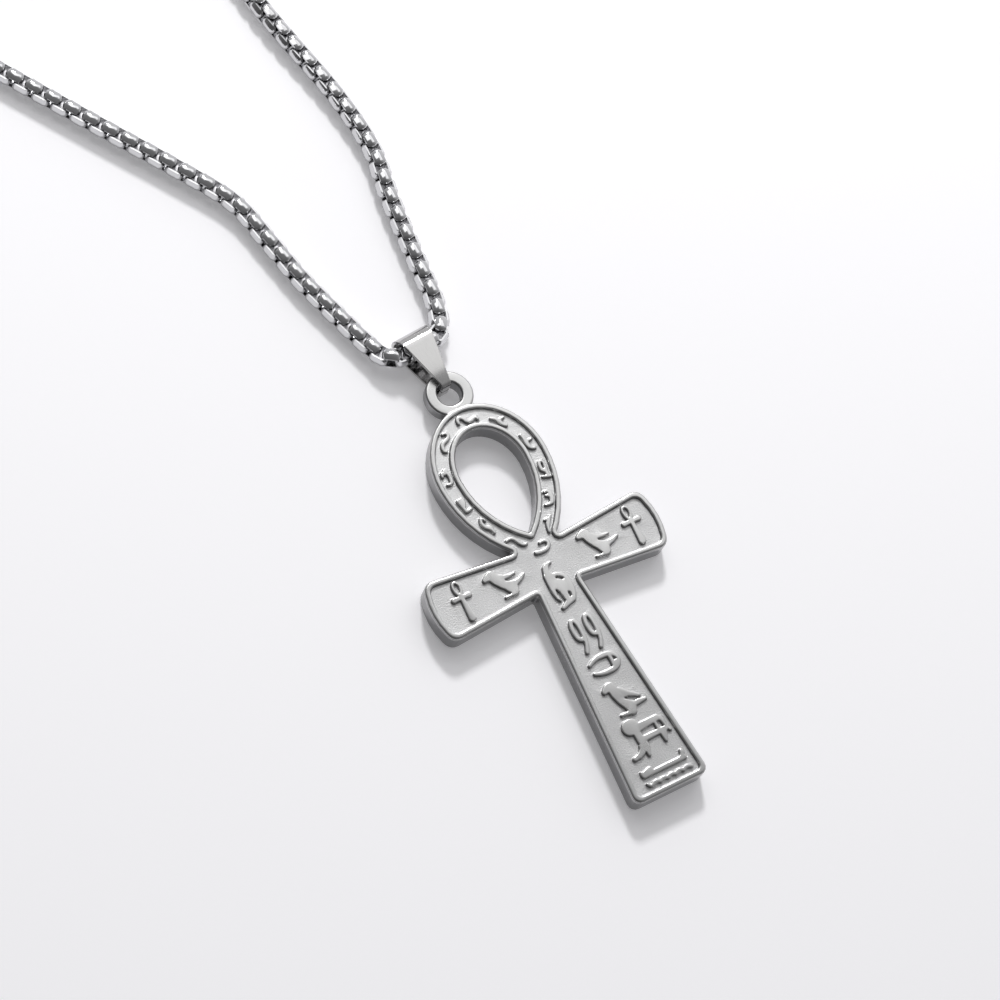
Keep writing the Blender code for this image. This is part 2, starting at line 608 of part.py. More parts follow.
def build_ankh(material):
    """The casting: rimmed body with its signs, and the ring joined on top of the loop."""
    builder = bmesh.new()
    body, eye = body_corners(), eye_corners()
    heights = (
        (EDGE, 0.0), (0.0, EDGE), (0.0, THICKNESS - EDGE), (EDGE, THICKNESS),
        (EDGE + RIM_FLAT, THICKNESS), (RIM, FIELD_Z),
    )
    body_rings = add_rows(
        builder, [(outline(body, inset, CORNER_SHARE), z) for inset, z in heights])
    eye_rings = add_rows(
        builder, [(outline(eye, -inset, CORNER_SHARE)[::-1], z) for inset, z in heights])
    raised, cut = sign_outlines()
    fill_plan(builder, body_rings[-1], list(reversed(eye_rings[-1])), FIELD_Z, True,
              raised, cut, SIGN_HEIGHT)
    fill_plan(builder, body_rings[0], list(reversed(eye_rings[0])), 0.0, False)
    ankh = add_object("ankh", builder, material)
    add_boolean(ankh, build_ring(material), "UNION")
    return ankh


def build_ring(material):
    """The flat cast ring that the bail goes through."""
    profile = (
        (RING_HOLE, RING_LOW), (RING_RADIUS - EDGE, RING_LOW), (RING_RADIUS, RING_LOW + EDGE),
        (RING_RADIUS, RING_HIGH - EDGE), (RING_RADIUS - EDGE, RING_HIGH),
        (RING_HOLE + EDGE, RING_HIGH), (RING_HOLE, RING_HIGH - EDGE),
    )
    builder = bmesh.new()
    turn_profile(builder, profile, 36)
    ring = add_object("ring_tool", builder, material)
    ring.location = (0.0, RING_Y, 0.0)
    return ring


def turn_profile(builder, profile, steps):
    """A closed profile of radius and height, turned about the Z axis."""
    rings = []
    for step in range(steps):
        angle = 2 * math.pi * step / steps
        rings.append([builder.verts.new((radius * math.cos(angle), radius * math.sin(angle), z))
                      for radius, z in profile])
    for step in range(steps):
        here, after = rings[step - 1], rings[step]
        for index in range(len(profile)):
            builder.faces.new((here[index - 1], after[index - 1], after[index], here[index]))
    bmesh.ops.recalc_face_normals(builder, faces=builder.faces)


def bail_frame():
    """The middle of the fold, the way from there to the tips, and the way across."""
    towards_tips = Vector((math.sin(BAIL_LEAN), -math.cos(BAIL_LEAN)))
    across = Vector((math.cos(BAIL_LEAN), math.sin(BAIL_LEAN)))
    hole_reach = math.sqrt(RING_HOLE ** 2 - (BAIL_TIP_WIDTH / 2) ** 2)
    tips = Vector((0.0, RING_Y + hole_reach - CLEAR - STRIP / 2))
    return tips - towards_tips * BAIL_LENGTH, towards_tips, across


def bail_corners():
    """The strip's inner side, seen along the chain: x runs to the tips and y is the height."""
    tip_x = BAIL_LENGTH - STRIP / 2
    front = Vector((tip_x, RING_HIGH + CLEAR))
    from_fold = front - Vector((0.0, FOLD_Z))
    first = math.atan2(from_fold.y, from_fold.x) + math.acos(FOLD_RADIUS / from_fold.length)
    last = 1.5 * math.pi
    corners = []
    fold_steps = 10
    for step in range(fold_steps + 1):
        angle = first + (last - first) * step / fold_steps
        corners.append((Vector((FOLD_RADIUS * math.cos(angle),
                                FOLD_Z + FOLD_RADIUS * math.sin(angle))), 0))
    corners.append((Vector((tip_x, STRIP)), BAIL_TIP_BEND))
    corners.append((front, BAIL_TIP_BEND))
    return corners


def build_bail(material):
    middle, towards_tips, across = bail_frame()
    inner, outer = outline(bail_corners(), 0.0), outline(bail_corners(), -STRIP)
    builder = bmesh.new()

    def ring(points, side):
        verts = []
        for point in points:
            share = min(max(point.x / BAIL_LENGTH, 0.0), 1.0)
            half = (BAIL_WIDTH + (BAIL_TIP_WIDTH - BAIL_WIDTH) * share) / 2
            place = middle + towards_tips * point.x + across * (side * half)
            verts.append(builder.verts.new((place.x, place.y, point.y)))
        return verts

    rings = [ring(outer, -1), ring(outer, 1), ring(inner, 1), ring(inner, -1)]
    for turn in range(4):
        here, after = rings[turn - 1], rings[turn]
        for index in range(len(outer)):
            builder.faces.new((here[index - 1], here[index], after[index], after[index - 1]))
    bmesh.ops.recalc_face_normals(builder, faces=builder.faces)
    return add_object("bail", builder, material)


def clasp_way():
    return Vector((math.cos(CLASP_TURN), math.sin(CLASP_TURN)))


def strand_end(side):
    """Where the chain ends beside an end ring."""
    reach = CLASP_LENGTH / 2 + 2 * END_RING_RADIUS + LINK_WIRE / 2 + CLEAR
    return CLASP_AT + clasp_way() * (side * reach)


def chain_route():
    """The route's points, with the height of the chain's middle at each."""
    middle, towards_tips, across = bail_frame()
    resting = CHAIN_DIAMETER / 2
    down = [strand_end(1)] + [Vector(point) * MM for point in ROUTE_DOWN]
    up = [Vector(point) * MM for point in ROUTE_UP] + [strand_end(-1)]
    route = [Vector((*point, resting)) for point in down]
    for sideways, away, climb in ROUTE_BAIL:
        place = middle + across * (sideways * MM) - towards_tips * (away * MM)
        route.append(Vector((*place, resting + (FOLD_Z - resting) * climb)))
    return route + [Vector((*point, resting)) for point in up]


def smooth(route, steps=24):
    """A smooth curve through the route's points, as many short straight pieces."""
    points = []
    for index in range(len(route) - 1):
        before = route[max(index - 1, 0)]
        start, end = route[index], route[index + 1]
        after = route[min(index + 2, len(route) - 1)]
        knots = [0.0]
        for first, second in ((before, start), (start, end), (end, after)):
            knots.append(knots[-1] + max((second - first).length ** 0.5, 1e-6))
        for step in range(steps):
            here = knots[1] + (knots[2] - knots[1]) * step / steps
            a1 = before.lerp(start, (here - knots[0]) / (knots[1] - knots[0]))
            a2 = start.lerp(end, (here - knots[1]) / (knots[2] - knots[1]))
            a3 = end.lerp(after, (here - knots[2]) / (knots[3] - knots[2]))
            b1 = a1.lerp(a2, (here - knots[0]) / (knots[2] - knots[0]))
            b2 = a2.lerp(a3, (here - knots[1]) / (knots[3] - knots[1]))
            points.append(b1.lerp(b2, (here - knots[1]) / (knots[2] - knots[1])))
    points.append(route[-1])
    return points


def chain_points():
    """Points along the smooth curve, close together only where it turns through the bail."""
    curve = smooth(chain_route())
    middle, _, _ = bail_frame()
    bail_place = Vector((*middle, FOLD_Z))
    turn_reach = 2.6 * CHAIN_DIAMETER
    points = [curve[0]]
    travelled = 0.0
    for before, here in zip(curve, curve[1:]):
        travelled += (here - before).length
        fine = (here - bail_place).length < turn_reach
        if travelled >= CHAIN_DIAMETER * (CHAIN_FINE_STEP if fine else CHAIN_STEP):
            points.append(here)
            travelled = 0.0
    if (points[-1] - curve[-1]).length < CHAIN_DIAMETER:
        points.pop()
    points.append(curve[-1])
    return points


def build_chain(material):
    points = chain_points()
    curve = bpy.data.curves.new("chain", "CURVE")
    curve.dimensions = "3D"
    curve.bevel_depth = CHAIN_DIAMETER / 2
    curve.bevel_resolution = 2
    curve.use_fill_caps = True
    curve.render_resolution_u = 0
    spline = curve.splines.new("POLY")
    spline.points.add(len(points) - 1)
    for target, point in zip(spline.points, points):
        target.co = (*point, 1.0)
    chain = bpy.data.objects.new("chain", curve)
    bpy.context.scene.collection.objects.link(chain)
    curve.materials.append(material)
    length = sum((second - first).length for first, second in zip(points, points[1:]))
    print("chain:", len(points), "points,", round(length / MM, 1), "mm long")
    return chain


def build_end_ring(name, side, material):
    """A jump ring that stands on edge through one of the clasp's eyes."""
    steps, wire_steps = 16, 6
    builder = bmesh.new()
    wire = []
    for step in range(wire_steps):
        angle = 2 * math.pi * step / wire_steps
        wire.append((END_RING_RADIUS + LINK_WIRE / 2 * math.cos(angle),
                     LINK_WIRE / 2 * math.sin(angle)))
    turn_profile(builder, wire, steps)
    ring = add_object(name, builder, material)
    ring.rotation_euler = (math.pi / 2, 0.0, CLASP_TURN)
    place = CLASP_AT + clasp_way() * (side * (CLASP_LENGTH / 2 + END_RING_RADIUS))
    ring.location = (place.x, place.y, END_RING_RADIUS + LINK_WIRE / 2)
    return ring


def build_plate(name, points, low, high, material):
    """A flat outline with a thickness."""
    builder = bmesh.new()
    verts = [builder.verts.new((point.x, point.y, low)) for point in points]
    bottom = builder.faces.new(list(reversed(verts)))
    top = bmesh.ops.extrude_face_region(builder, geom=[bottom])
    lifted = [item for item in top["geom"] if isinstance(item, bmesh.types.BMVert)]
    bmesh.ops.translate(builder, verts=lifted, vec=(0.0, 0.0, high - low))
    bmesh.ops.recalc_face_normals(builder, faces=builder.faces)
    return add_object(name, builder, material)


def circle(centre, radius, steps, stretch=1.0):
    return [centre + Vector((radius * stretch * math.cos(2 * math.pi * step / steps),
                             radius * math.sin(2 * math.pi * step / steps)))
            for step in range(steps)]


def build_clasp(material):
    """A plain closed clasp: a rounded body with a thin eye at either end."""
    body_length = CLASP_LENGTH * CLASP_BODY
    body = build_plate("clasp", circle(Vector((0.0, 0.0)), CLASP_WIDTH / 2, 24,
                                       body_length / CLASP_WIDTH), 0.0, CLASP_THICKNESS, material)
    bevel = body.modifiers.new("edge", "BEVEL")
    bevel.width = CLASP_EDGE
    bevel.segments = 2
    bevel.limit_method = "ANGLE"
    bevel.angle_limit = math.radians(60)
    ring_middle = END_RING_RADIUS + LINK_WIRE / 2
    low = ring_middle - LUG_THICKNESS / 2
    placed = []
    for side in (-1, 1):
        centre = Vector((side * CLASP_LENGTH / 2, 0.0))
        lug = build_plate("lug_tool", circle(centre, LUG_RADIUS, 20), low, low + LUG_THICKNESS,
                          material)
        add_boolean(body, lug, "UNION")
        placed.append(lug)
    for side in (-1, 1):
        centre = Vector((side * CLASP_LENGTH / 2, 0.0))
        hole = build_plate("hole_tool", circle(centre, LUG_HOLE, 16), -CLASP_THICKNESS,
                           2 * CLASP_THICKNESS, material)
        add_boolean(body, hole, "DIFFERENCE")
        placed.append(hole)
    for thing in placed + [body]:
        thing.location = (CLASP_AT.x, CLASP_AT.y, 0.0)
        thing.rotation_euler = (0.0, 0.0, CLASP_TURN)
    return body


def main():
    clear_scene()
    cast_steel = metal("cast_steel", (0.70, 0.70, 0.69), 0.38)
    polished_steel = metal("polished_steel", (0.72, 0.72, 0.72), 0.16)
    build_ankh(cast_steel)
    build_bail(polished_steel)
    build_chain(polished_steel)
    build_end_ring("end_ring_a", 1, polished_steel)
    build_end_ring("end_ring_b", -1, polished_steel)
    build_clasp(polished_steel)


main()
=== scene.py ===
# %% [markdown]
# # An ankh pendant on a round box chain
#
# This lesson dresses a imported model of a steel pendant: a cast ankh with raised signs in a
# sunk, sand-blasted field, a folded bail and a chain of small box links. The model's solids are
# already right in size and place. What they lack is what makes metal look like metal: soft
# edges, real links and a finish that changes from the field to the polished parts.

# %% Load the frame
import math

import bmesh
import bpy
from mathutils import Matrix, Vector


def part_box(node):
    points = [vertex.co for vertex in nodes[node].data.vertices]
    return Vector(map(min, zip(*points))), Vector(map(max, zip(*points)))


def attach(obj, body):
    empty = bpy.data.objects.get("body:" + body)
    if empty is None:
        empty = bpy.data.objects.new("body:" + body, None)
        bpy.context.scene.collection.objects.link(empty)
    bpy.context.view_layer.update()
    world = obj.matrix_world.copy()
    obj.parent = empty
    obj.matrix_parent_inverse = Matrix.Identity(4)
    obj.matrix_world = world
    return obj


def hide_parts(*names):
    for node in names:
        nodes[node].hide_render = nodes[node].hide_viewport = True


MM = 0.001

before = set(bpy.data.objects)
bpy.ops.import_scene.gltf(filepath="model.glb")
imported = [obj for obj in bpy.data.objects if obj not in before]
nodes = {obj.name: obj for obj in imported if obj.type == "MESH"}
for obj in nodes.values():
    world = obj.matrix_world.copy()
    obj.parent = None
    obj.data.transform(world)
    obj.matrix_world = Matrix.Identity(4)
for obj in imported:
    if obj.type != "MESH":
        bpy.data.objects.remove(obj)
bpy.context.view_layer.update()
for name in sorted(nodes):
    low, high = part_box(name)
    print(name, "spans", [round(size / MM, 1) for size in high - low], "mm")

# %% [markdown]
# Operators act on whatever is selected, and loading a model leaves all of it selected. So each
# step starts from one selected object. The helpers below keep that in one place: they pick an
# object, apply a modifier to it, put its place into its mesh, close a mesh that was drawn in
# steps, and hand a finished piece over to the frame.

# %% Small helpers
SAME_POINT = 0.001 * MM     # points closer together than this are one


def pick(thing):
    """Select one object alone and make it the active one."""
    if bpy.context.object and bpy.context.object.mode != "OBJECT":
        bpy.ops.object.mode_set(mode="OBJECT")
    bpy.ops.object.select_all(action="DESELECT")
    thing.select_set(True)
    bpy.context.view_layer.objects.active = thing


def use_modifier(thing, kind, **settings):
    """Add a modifier with its settings and apply it at once."""
    pick(thing)
    modifier = thing.modifiers.new(kind.lower(), kind)
    for setting, value in settings.items():
        setattr(modifier, setting, value)
    bpy.ops.object.modifier_apply(modifier=modifier.name)


def apply_place(thing):
    """Put an object's place, turn and scale into its mesh."""
    pick(thing)
    bpy.ops.object.transform_apply(location=True, rotation=True, scale=True)


def close_mesh():
    """In edit mode, merge the points that coincide and turn every face outwards."""
    bpy.ops.mesh.select_all(action="SELECT")
    bpy.ops.mesh.remove_doubles(threshold=SAME_POINT)
    bpy.ops.mesh.normals_make_consistent(inside=False)


def finish_piece(thing, name, node, material):
    """Name the piece, give it its finish and put it in place of its CAD node."""
    apply_place(thing)
    thing.name = name
    thing.data.materials.clear()
    thing.data.materials.append(material)
    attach(thing, "root")
    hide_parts(node)
    triangles = sum(len(face.vertices) - 2 for face in thing.data.polygons)
    print(name, triangles, "triangles,", [round(size / MM, 1) for size in thing.dimensions], "mm")


# %% [markdown]
# ## Camera
#
# The pendant is seen from above and from its lower left, through a long lens, so its sides
# hardly draw together. A camera that tracks a target stays level, but this view is rolled a
# little. So the camera's place and directions are written out, and its matrix is put together
# from them: to the right, up, and back from where it looks.

# %% Camera
LENS = 104.07               # millimetres, as the sensor's width is
SENSOR = 36.0
CLIP = (0.01, 10.0)         # the nearest and farthest that the camera sees, in metres
EYE = Vector((-118.55, -71.77, 303.47)) * MM
LOOKING = Vector((0.3519, 0.2516, -0.9016)).normalized()
TO_THE_RIGHT = Vector((0.8570, -0.4740, 0.2022))

right = (TO_THE_RIGHT - LOOKING * TO_THE_RIGHT.dot(LOOKING)).normalized()
up = right.cross(LOOKING)
bpy.ops.object.camera_add()
camera = bpy.context.object
camera.data.lens = LENS
camera.data.sensor_width = SENSOR
camera.data.sensor_fit = "HORIZONTAL"
camera.data.clip_start = CLIP[0]
camera.data.clip_end = CLIP[1]
turned = Matrix((right, up, -LOOKING)).transposed()
camera.matrix_world = Matrix.Translation(EYE) @ turned.to_4x4()
bpy.context.scene.camera = camera
print("camera looks down at", round(math.degrees(math.asin(-LOOKING.z))), "degrees")

# %% [markdown]
# ## Floor
#
# The floor is a wide pale sheet under the necklace. It is staging and not part of the object.
# It glows a little of its own, which keeps it nearly white where the lamps hardly reach it and
# keeps the shadows pale.

# %% Floor
FLOOR_SIZE = 6.0
FLOOR_MIDDLE = (0.0, 0.1, 0.0)
FLOOR_LOOK = {
    "Base Color": (0.90, 0.895, 0.915, 1.0),
    "Roughness": 0.60,
    "Specular IOR Level": 0.20,
    "Emission Color": (0.99, 0.985, 1.0, 1.0),
    "Emission Strength": 0.20,
}


def pale_floor():
    """A plain matt material with the floor's settings."""
    material = bpy.data.materials.new("pale_floor")
    material.use_nodes = True
    shader = material.node_tree.nodes["Principled BSDF"]
    for socket, value in FLOOR_LOOK.items():
        shader.inputs[socket].default_value = value
    return material


bpy.ops.mesh.primitive_plane_add(size=FLOOR_SIZE, location=FLOOR_MIDDLE)
floor = bpy.context.object
floor.name = "floor"
floor.data.materials.append(pale_floor())
print("floor", FLOOR_SIZE, "m wide")

# %% [markdown]
# ## Light
#
# Polished steel shows its surroundings, so the light is set up as for a jeweller's photograph. A
# level panel hangs close over the right side. The pendant's face mirrors it near the loop and
# only just misses it at the foot, so the face fades from top to bottom. A smaller panel beside it
# whitens the flat plates of the left strand. A small hot lamp far behind the necklace makes the
# white sparks on the chain and the shadows on the floor.

# %% Light


def soft_box(name, place, aim, size, power):
    """A square area light at one place that faces another, in metres and watts."""
    place = Vector(place)
    bpy.ops.object.light_add(type="AREA", location=place)
    light = bpy.context.object
    light.name = name
    light.data.shape = "SQUARE"
    light.data.size = size
    light.data.energy = power
    light.rotation_euler = (Vector(aim) - place).to_track_quat("-Z", "Y").to_euler()
    radiance = power / (math.pi * size ** 2)
    print(name, "is", size, "m wide and shines", round(radiance, 2), "times as bright as white")


soft_box("side_panel", place=(0.164, 0.135, 0.20), aim=(0.164, 0.135, 0.0), size=0.21, power=0.105)
soft_box("strand_panel", place=(0.005, 0.165, 0.20), aim=(0.005, 0.165, 0.0), size=0.11, power=0.050)
soft_box("hot_lamp", place=(0.27, 0.66, 0.56), aim=(0.0, 0.02, 0.0), size=0.12, power=4.6)

# %% [markdown]
# The surroundings are a world whose brightness depends on direction alone: the direction's share
# towards the bright side runs through a colour ramp. They are bright behind the necklace on the
# right, and dark towards the camera, so the metal's sides that face the camera stay dark too.

# %% Surroundings
BRIGHT_SIDE = (0.80, 0.60, 0.0)
SURROUNDINGS = ((0.0, 0.08), (0.5, 0.22), (1.0, 0.85))     # share towards that side, brightness
SURROUNDINGS_TINT = (0.985, 0.985, 1.0)


def make_surroundings():
    """A world with a colour ramp from its dark side to its bright side."""
    world = bpy.data.worlds.new("studio")
    bpy.context.scene.world = world
    world.use_nodes = True
    tree = world.node_tree
    place = tree.nodes.new("ShaderNodeTexCoord")
    towards = tree.nodes.new("ShaderNodeVectorMath")
    towards.operation = "DOT_PRODUCT"
    towards.inputs[1].default_value = BRIGHT_SIDE
    share = tree.nodes.new("ShaderNodeMapRange")
    share.inputs["From Min"].default_value = -1.0
    ramp = tree.nodes.new("ShaderNodeValToRGB")
    stops = ramp.color_ramp.elements
    stops.new(SURROUNDINGS[1][0])
    for stop, (position, brightness) in zip(stops, SURROUNDINGS):
        stop.position = position
        stop.color = (*(brightness * part for part in SURROUNDINGS_TINT), 1.0)
    join = tree.links.new
    join(place.outputs["Generated"], towards.inputs[0])
    join(towards.outputs["Value"], share.inputs["Value"])
    join(share.outputs["Result"], ramp.inputs["Fac"])
    join(ramp.outputs["Color"], tree.nodes["Background"].inputs["Color"])


make_surroundings()
bpy.context.scene.view_settings.view_transform = "Standard"
print("surroundings run from", SURROUNDINGS[0][1], "to", SURROUNDINGS[-1][1])

# %% [markdown]
# ## Finishes
#
# All the pieces are stainless steel, but the casting's field was blasted with fine sand, while
# its rim, its signs and its sides were tumbled until they shine softly, and the chain and the
# bail are bright. One node group makes the fine grain for all of them: it puts out a height for
# bumps, a roughness that goes up and down a little, and a shade that the colour is multiplied
# by. Two helpers keep its arithmetic short, and later materials use them too.

# %% Fine grain, a node group
GRAIN_DETAIL = 2.0
WIDE_SCALE = 260.0          # scale of the wide noise that moves the roughness


def feed(tree, socket, value):
    """Link a socket to a node's output, or set it to a plain value."""
    if isinstance(value, bpy.types.NodeSocket):
        tree.links.new(value, socket)
    else:
        socket.default_value = value


def maths(tree, operation, *values):
    """A Math node that works on the given values and outputs; it returns its own output."""
    node = tree.nodes.new("ShaderNodeMath")
    node.operation = operation
    for socket, value in zip(node.inputs, values):
        feed(tree, socket, value)
    return node.outputs[0]


def around(tree, value, middle, spread):
    """Turn a noise value into a middle value, plus or minus up to half a spread."""
    return maths(tree, "MULTIPLY_ADD", maths(tree, "SUBTRACT", value, 0.5), spread, middle)


def make_grain_group():
    """Noise at two sizes on Object coordinates, for height, roughness and shade."""
    group = bpy.data.node_groups.new("metal_grain", "ShaderNodeTree")
    group.interface.new_socket("Stretch", in_out="INPUT", socket_type="NodeSocketVector")
    for name in ("Scale", "Roughness", "Spread", "Contrast"):
        group.interface.new_socket(name, in_out="INPUT", socket_type="NodeSocketFloat")
    for name in ("Height", "Roughness", "Shade"):
        group.interface.new_socket(name, in_out="OUTPUT", socket_type="NodeSocketFloat")
    enter = group.nodes.new("NodeGroupInput")
    leave = group.nodes.new("NodeGroupOutput")
    place = group.nodes.new("ShaderNodeTexCoord")
    stretched = group.nodes.new("ShaderNodeVectorMath")
    stretched.operation = "MULTIPLY"
    fine = group.nodes.new("ShaderNodeTexNoise")
    fine.inputs["Detail"].default_value = GRAIN_DETAIL
    wide = group.nodes.new("ShaderNodeTexNoise")
    wide.inputs["Scale"].default_value = WIDE_SCALE
    join = group.links.new
    join(place.outputs["Object"], stretched.inputs[0])
    join(enter.outputs["Stretch"], stretched.inputs[1])
    join(stretched.outputs["Vector"], fine.inputs["Vector"])
    join(place.outputs["Object"], wide.inputs["Vector"])
    join(enter.outputs["Scale"], fine.inputs["Scale"])
    join(fine.outputs["Fac"], leave.inputs["Height"])
    roughness = around(group, wide.outputs["Fac"], enter.outputs["Roughness"],
                       enter.outputs["Spread"])
    join(roughness, leave.inputs["Roughness"])
    shade = around(group, fine.outputs["Fac"], 1.0, enter.outputs["Contrast"])
    join(shade, leave.inputs["Shade"])
    return group


grain_group = make_grain_group()
print("grain group has", len(grain_group.nodes), "nodes")

# %% [markdown]
# ## Bright steel
#
# The bail, the chain and the clasp are polished. Their finish is nearly a mirror, with a faint
# unevenness left by the polishing wheel. The bail is of rolled sheet, so its grain is drawn out
# into fine lines along the strip.

# %% Bright steel


def new_steel(name, colour, bump_depth, **grain_settings):
    """A metal whose roughness, bumps and shade come from the grain group."""
    material = bpy.data.materials.new(name)
    material.use_nodes = True
    tree = material.node_tree
    shader = tree.nodes["Principled BSDF"]
    shader.inputs["Metallic"].default_value = 1.0
    grain = tree.nodes.new("ShaderNodeGroup")
    grain.name = "Grain"
    grain.node_tree = grain_group
    for setting, value in grain_settings.items():
        grain.inputs[setting.capitalize()].default_value = value
    bump = tree.nodes.new("ShaderNodeBump")
    bump.inputs["Distance"].default_value = bump_depth
    shaded = tree.nodes.new("ShaderNodeMix")
    shaded.name = "Shaded"
    shaded.data_type = "RGBA"
    shaded.blend_type = "MULTIPLY"
    shaded.inputs["Factor"].default_value = 1.0
    shaded.inputs["A"].default_value = colour
    tree.links.new(grain.outputs["Height"], bump.inputs["Height"])
    tree.links.new(grain.outputs["Roughness"], shader.inputs["Roughness"])
    tree.links.new(grain.outputs["Shade"], shaded.inputs["B"])
    tree.links.new(bump.outputs["Normal"], shader.inputs["Normal"])
    tree.links.new(shaded.outputs["Result"], shader.inputs["Base Color"])
    return material


mirror_steel = new_steel("mirror_steel", colour=(0.63, 0.63, 0.64, 1.0), bump_depth=0.001 * MM,
                         stretch=(1.0, 1.0, 1.0), scale=900.0,
                         roughness=0.11, spread=0.08, contrast=0.05)
sheet_steel = new_steel("sheet_steel", colour=(0.54, 0.535, 0.53, 1.0), bump_depth=0.001 * MM,
                        stretch=(1.0, 0.04, 1.0), scale=7000.0,
                        roughness=0.11, spread=0.06, contrast=0.10)
print("made", mirror_steel.name, "and", sheet_steel.name)

# %% [markdown]
# ## Cast steel with a blasted field
#
# One casting carries several finishes. Each lies at its own height, so the height in Object
# coordinates is enough to tell them apart, and no map has to be painted. A mask is 1 in a thin
# layer about the sand-blasted field's height and 0 elsewhere, and it mixes the roughness, the
# bumps and the colour. Just above the field a crease runs round every sign, and a dark painted
# shade there draws their outlines. The sides lie lower than the field, and a darker colour on
# them is painted shade too.

# %% Cast steel
FIELD_HEIGHT = 2.6 * MM
FIELD_LAYER = 0.10 * MM     # how far from that height the mask has faded to nothing
CREASE_HEIGHT = 2.72 * MM
CREASE_LAYER = 0.09 * MM
SIDES_BELOW = 2.35 * MM
# painted shade: the sides below the field are given a darker colour
SIDE_SHADE_COLOUR = (0.29, 0.29, 0.295, 1.0)
POLISHED_COLOUR = (0.56, 0.56, 0.555, 1.0)
FIELD_COLOUR = (0.53, 0.53, 0.53, 1.0)
# painted shade: a dark line in the crease round every sign, just above the field
CREASE_SHADE_COLOUR = (0.20, 0.20, 0.205, 1.0)
FIELD_ROUGHER = 0.16        # what the field adds to the roughness
POLISHED_GRAIN = 0.15       # share of the field's bumps and shade on everything else


def near_height(tree, z, height, layer):
    """A mask that is 1 at one height, and fades to 0 at the edge of a layer about it."""
    away = maths(tree, "ABSOLUTE", maths(tree, "SUBTRACT", z, height))
    mask = tree.nodes.new("ShaderNodeMapRange")
    mask.interpolation_type = "SMOOTHSTEP"
    mask.inputs["From Min"].default_value = 0.5 * layer
    mask.inputs["From Max"].default_value = layer
    mask.inputs["To Min"].default_value = 1.0
    mask.inputs["To Max"].default_value = 0.0
    tree.links.new(away, mask.inputs["Value"])
    return mask.outputs["Result"]


def lay_over(tree, below, above, mask):
    """A Mix node that shows one colour, and another one over it where a mask is 1."""
    mix = tree.nodes.new("ShaderNodeMix")
    mix.data_type = "RGBA"
    feed(tree, mix.inputs["A"], below)
    feed(tree, mix.inputs["B"], above)
    feed(tree, mix.inputs["Factor"], mask)
    return mix.outputs["Result"]


def cast_steel():
    """Steel whose colour, roughness and bumps change with the height above the floor."""
    material = new_steel("cast_steel", colour=POLISHED_COLOUR, bump_depth=0.030 * MM,
                         stretch=(1.0, 1.0, 1.0), scale=6500.0,
                         roughness=0.28, spread=0.06, contrast=0.50)
    tree = material.node_tree
    place = tree.nodes.new("ShaderNodeTexCoord")
    parts = tree.nodes.new("ShaderNodeSeparateXYZ")
    tree.links.new(place.outputs["Object"], parts.inputs["Vector"])
    z = parts.outputs["Z"]
    field = near_height(tree, z, FIELD_HEIGHT, FIELD_LAYER)
    crease_shade = near_height(tree, z, CREASE_HEIGHT, CREASE_LAYER)
    over_sides = tree.nodes.new("ShaderNodeMapRange")
    over_sides.inputs["From Min"].default_value = SIDES_BELOW
    over_sides.inputs["From Max"].default_value = SIDES_BELOW + FIELD_LAYER
    tree.links.new(z, over_sides.inputs["Value"])

    # painted shade on the sides, then the field's own colour, then painted shade in the crease
    colour = lay_over(tree, SIDE_SHADE_COLOUR, POLISHED_COLOUR, over_sides.outputs["Result"])
    colour = lay_over(tree, colour, FIELD_COLOUR, field)
    colour = lay_over(tree, colour, CREASE_SHADE_COLOUR, crease_shade)
    roughness = maths(tree, "MULTIPLY_ADD", field, FIELD_ROUGHER,
                      tree.nodes["Grain"].outputs["Roughness"])
    grained = maths(tree, "MULTIPLY_ADD", field, 1.0 - POLISHED_GRAIN, POLISHED_GRAIN)
    tree.links.new(colour, tree.nodes["Shaded"].inputs["A"])
    tree.links.new(roughness, tree.nodes["Principled BSDF"].inputs["Roughness"])
    tree.links.new(grained, tree.nodes["Bump"].inputs["Strength"])
    tree.links.new(grained, tree.nodes["Shaded"].inputs["Factor"])
    return material


cast = cast_steel()
print("made", cast.name)

# %% [markdown]
# ## The casting
#
# The solid has the right outline and signs, but its edges are knife sharp, which a casting's
# never are. Its mesh is copied and merged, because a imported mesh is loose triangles. A voxel
# remesh turns it into an even skin, and smoothing rounds its edges as casting and tumbling do.
# That thins the signs' strokes, so the whole skin is pushed out by a hair and pressed back to its
# height. A decimate step takes the points out again where the skin is flat.

# %% The casting
SKIN_VOXEL = 0.055 * MM
SMOOTHING = 0.5             # how far each round of smoothing moves a point to its neighbours
SMOOTHING_ROUNDS = 3
SKIN_PUSH = 0.045 * MM
THICKNESS = 3.0 * MM
CASTING_TRIANGLES = 190_000


def make_casting():
    """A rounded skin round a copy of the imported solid."""
    casting = nodes["ankh"].copy()
    casting.data = nodes["ankh"].data.copy()
    casting.parent = None
    bpy.context.scene.collection.objects.link(casting)
    pick(casting)
    bpy.ops.object.mode_set(mode="EDIT")
    bpy.ops.mesh.select_all(action="SELECT")
    bpy.ops.mesh.remove_doubles(threshold=SAME_POINT)
    bpy.ops.object.mode_set(mode="OBJECT")
    use_modifier(casting, "REMESH", mode="VOXEL", voxel_size=SKIN_VOXEL)
    use_modifier(casting, "SMOOTH", factor=SMOOTHING, iterations=SMOOTHING_ROUNDS)
    use_modifier(casting, "DISPLACE", strength=SKIN_PUSH, mid_level=0.0)
    squeeze = THICKNESS / (THICKNESS + 2 * SKIN_PUSH)
    casting.scale.z = squeeze
    casting.location.z = SKIN_PUSH * squeeze
    apply_place(casting)
    triangles = 2 * len(casting.data.polygons)
    print("skin has", triangles, "triangles")
    use_modifier(casting, "DECIMATE", ratio=min(1.0, CASTING_TRIANGLES / triangles))
    bpy.ops.object.shade_smooth()
    return casting


casting = make_casting()
finish_piece(casting, "pendant_casting", "ankh", cast)

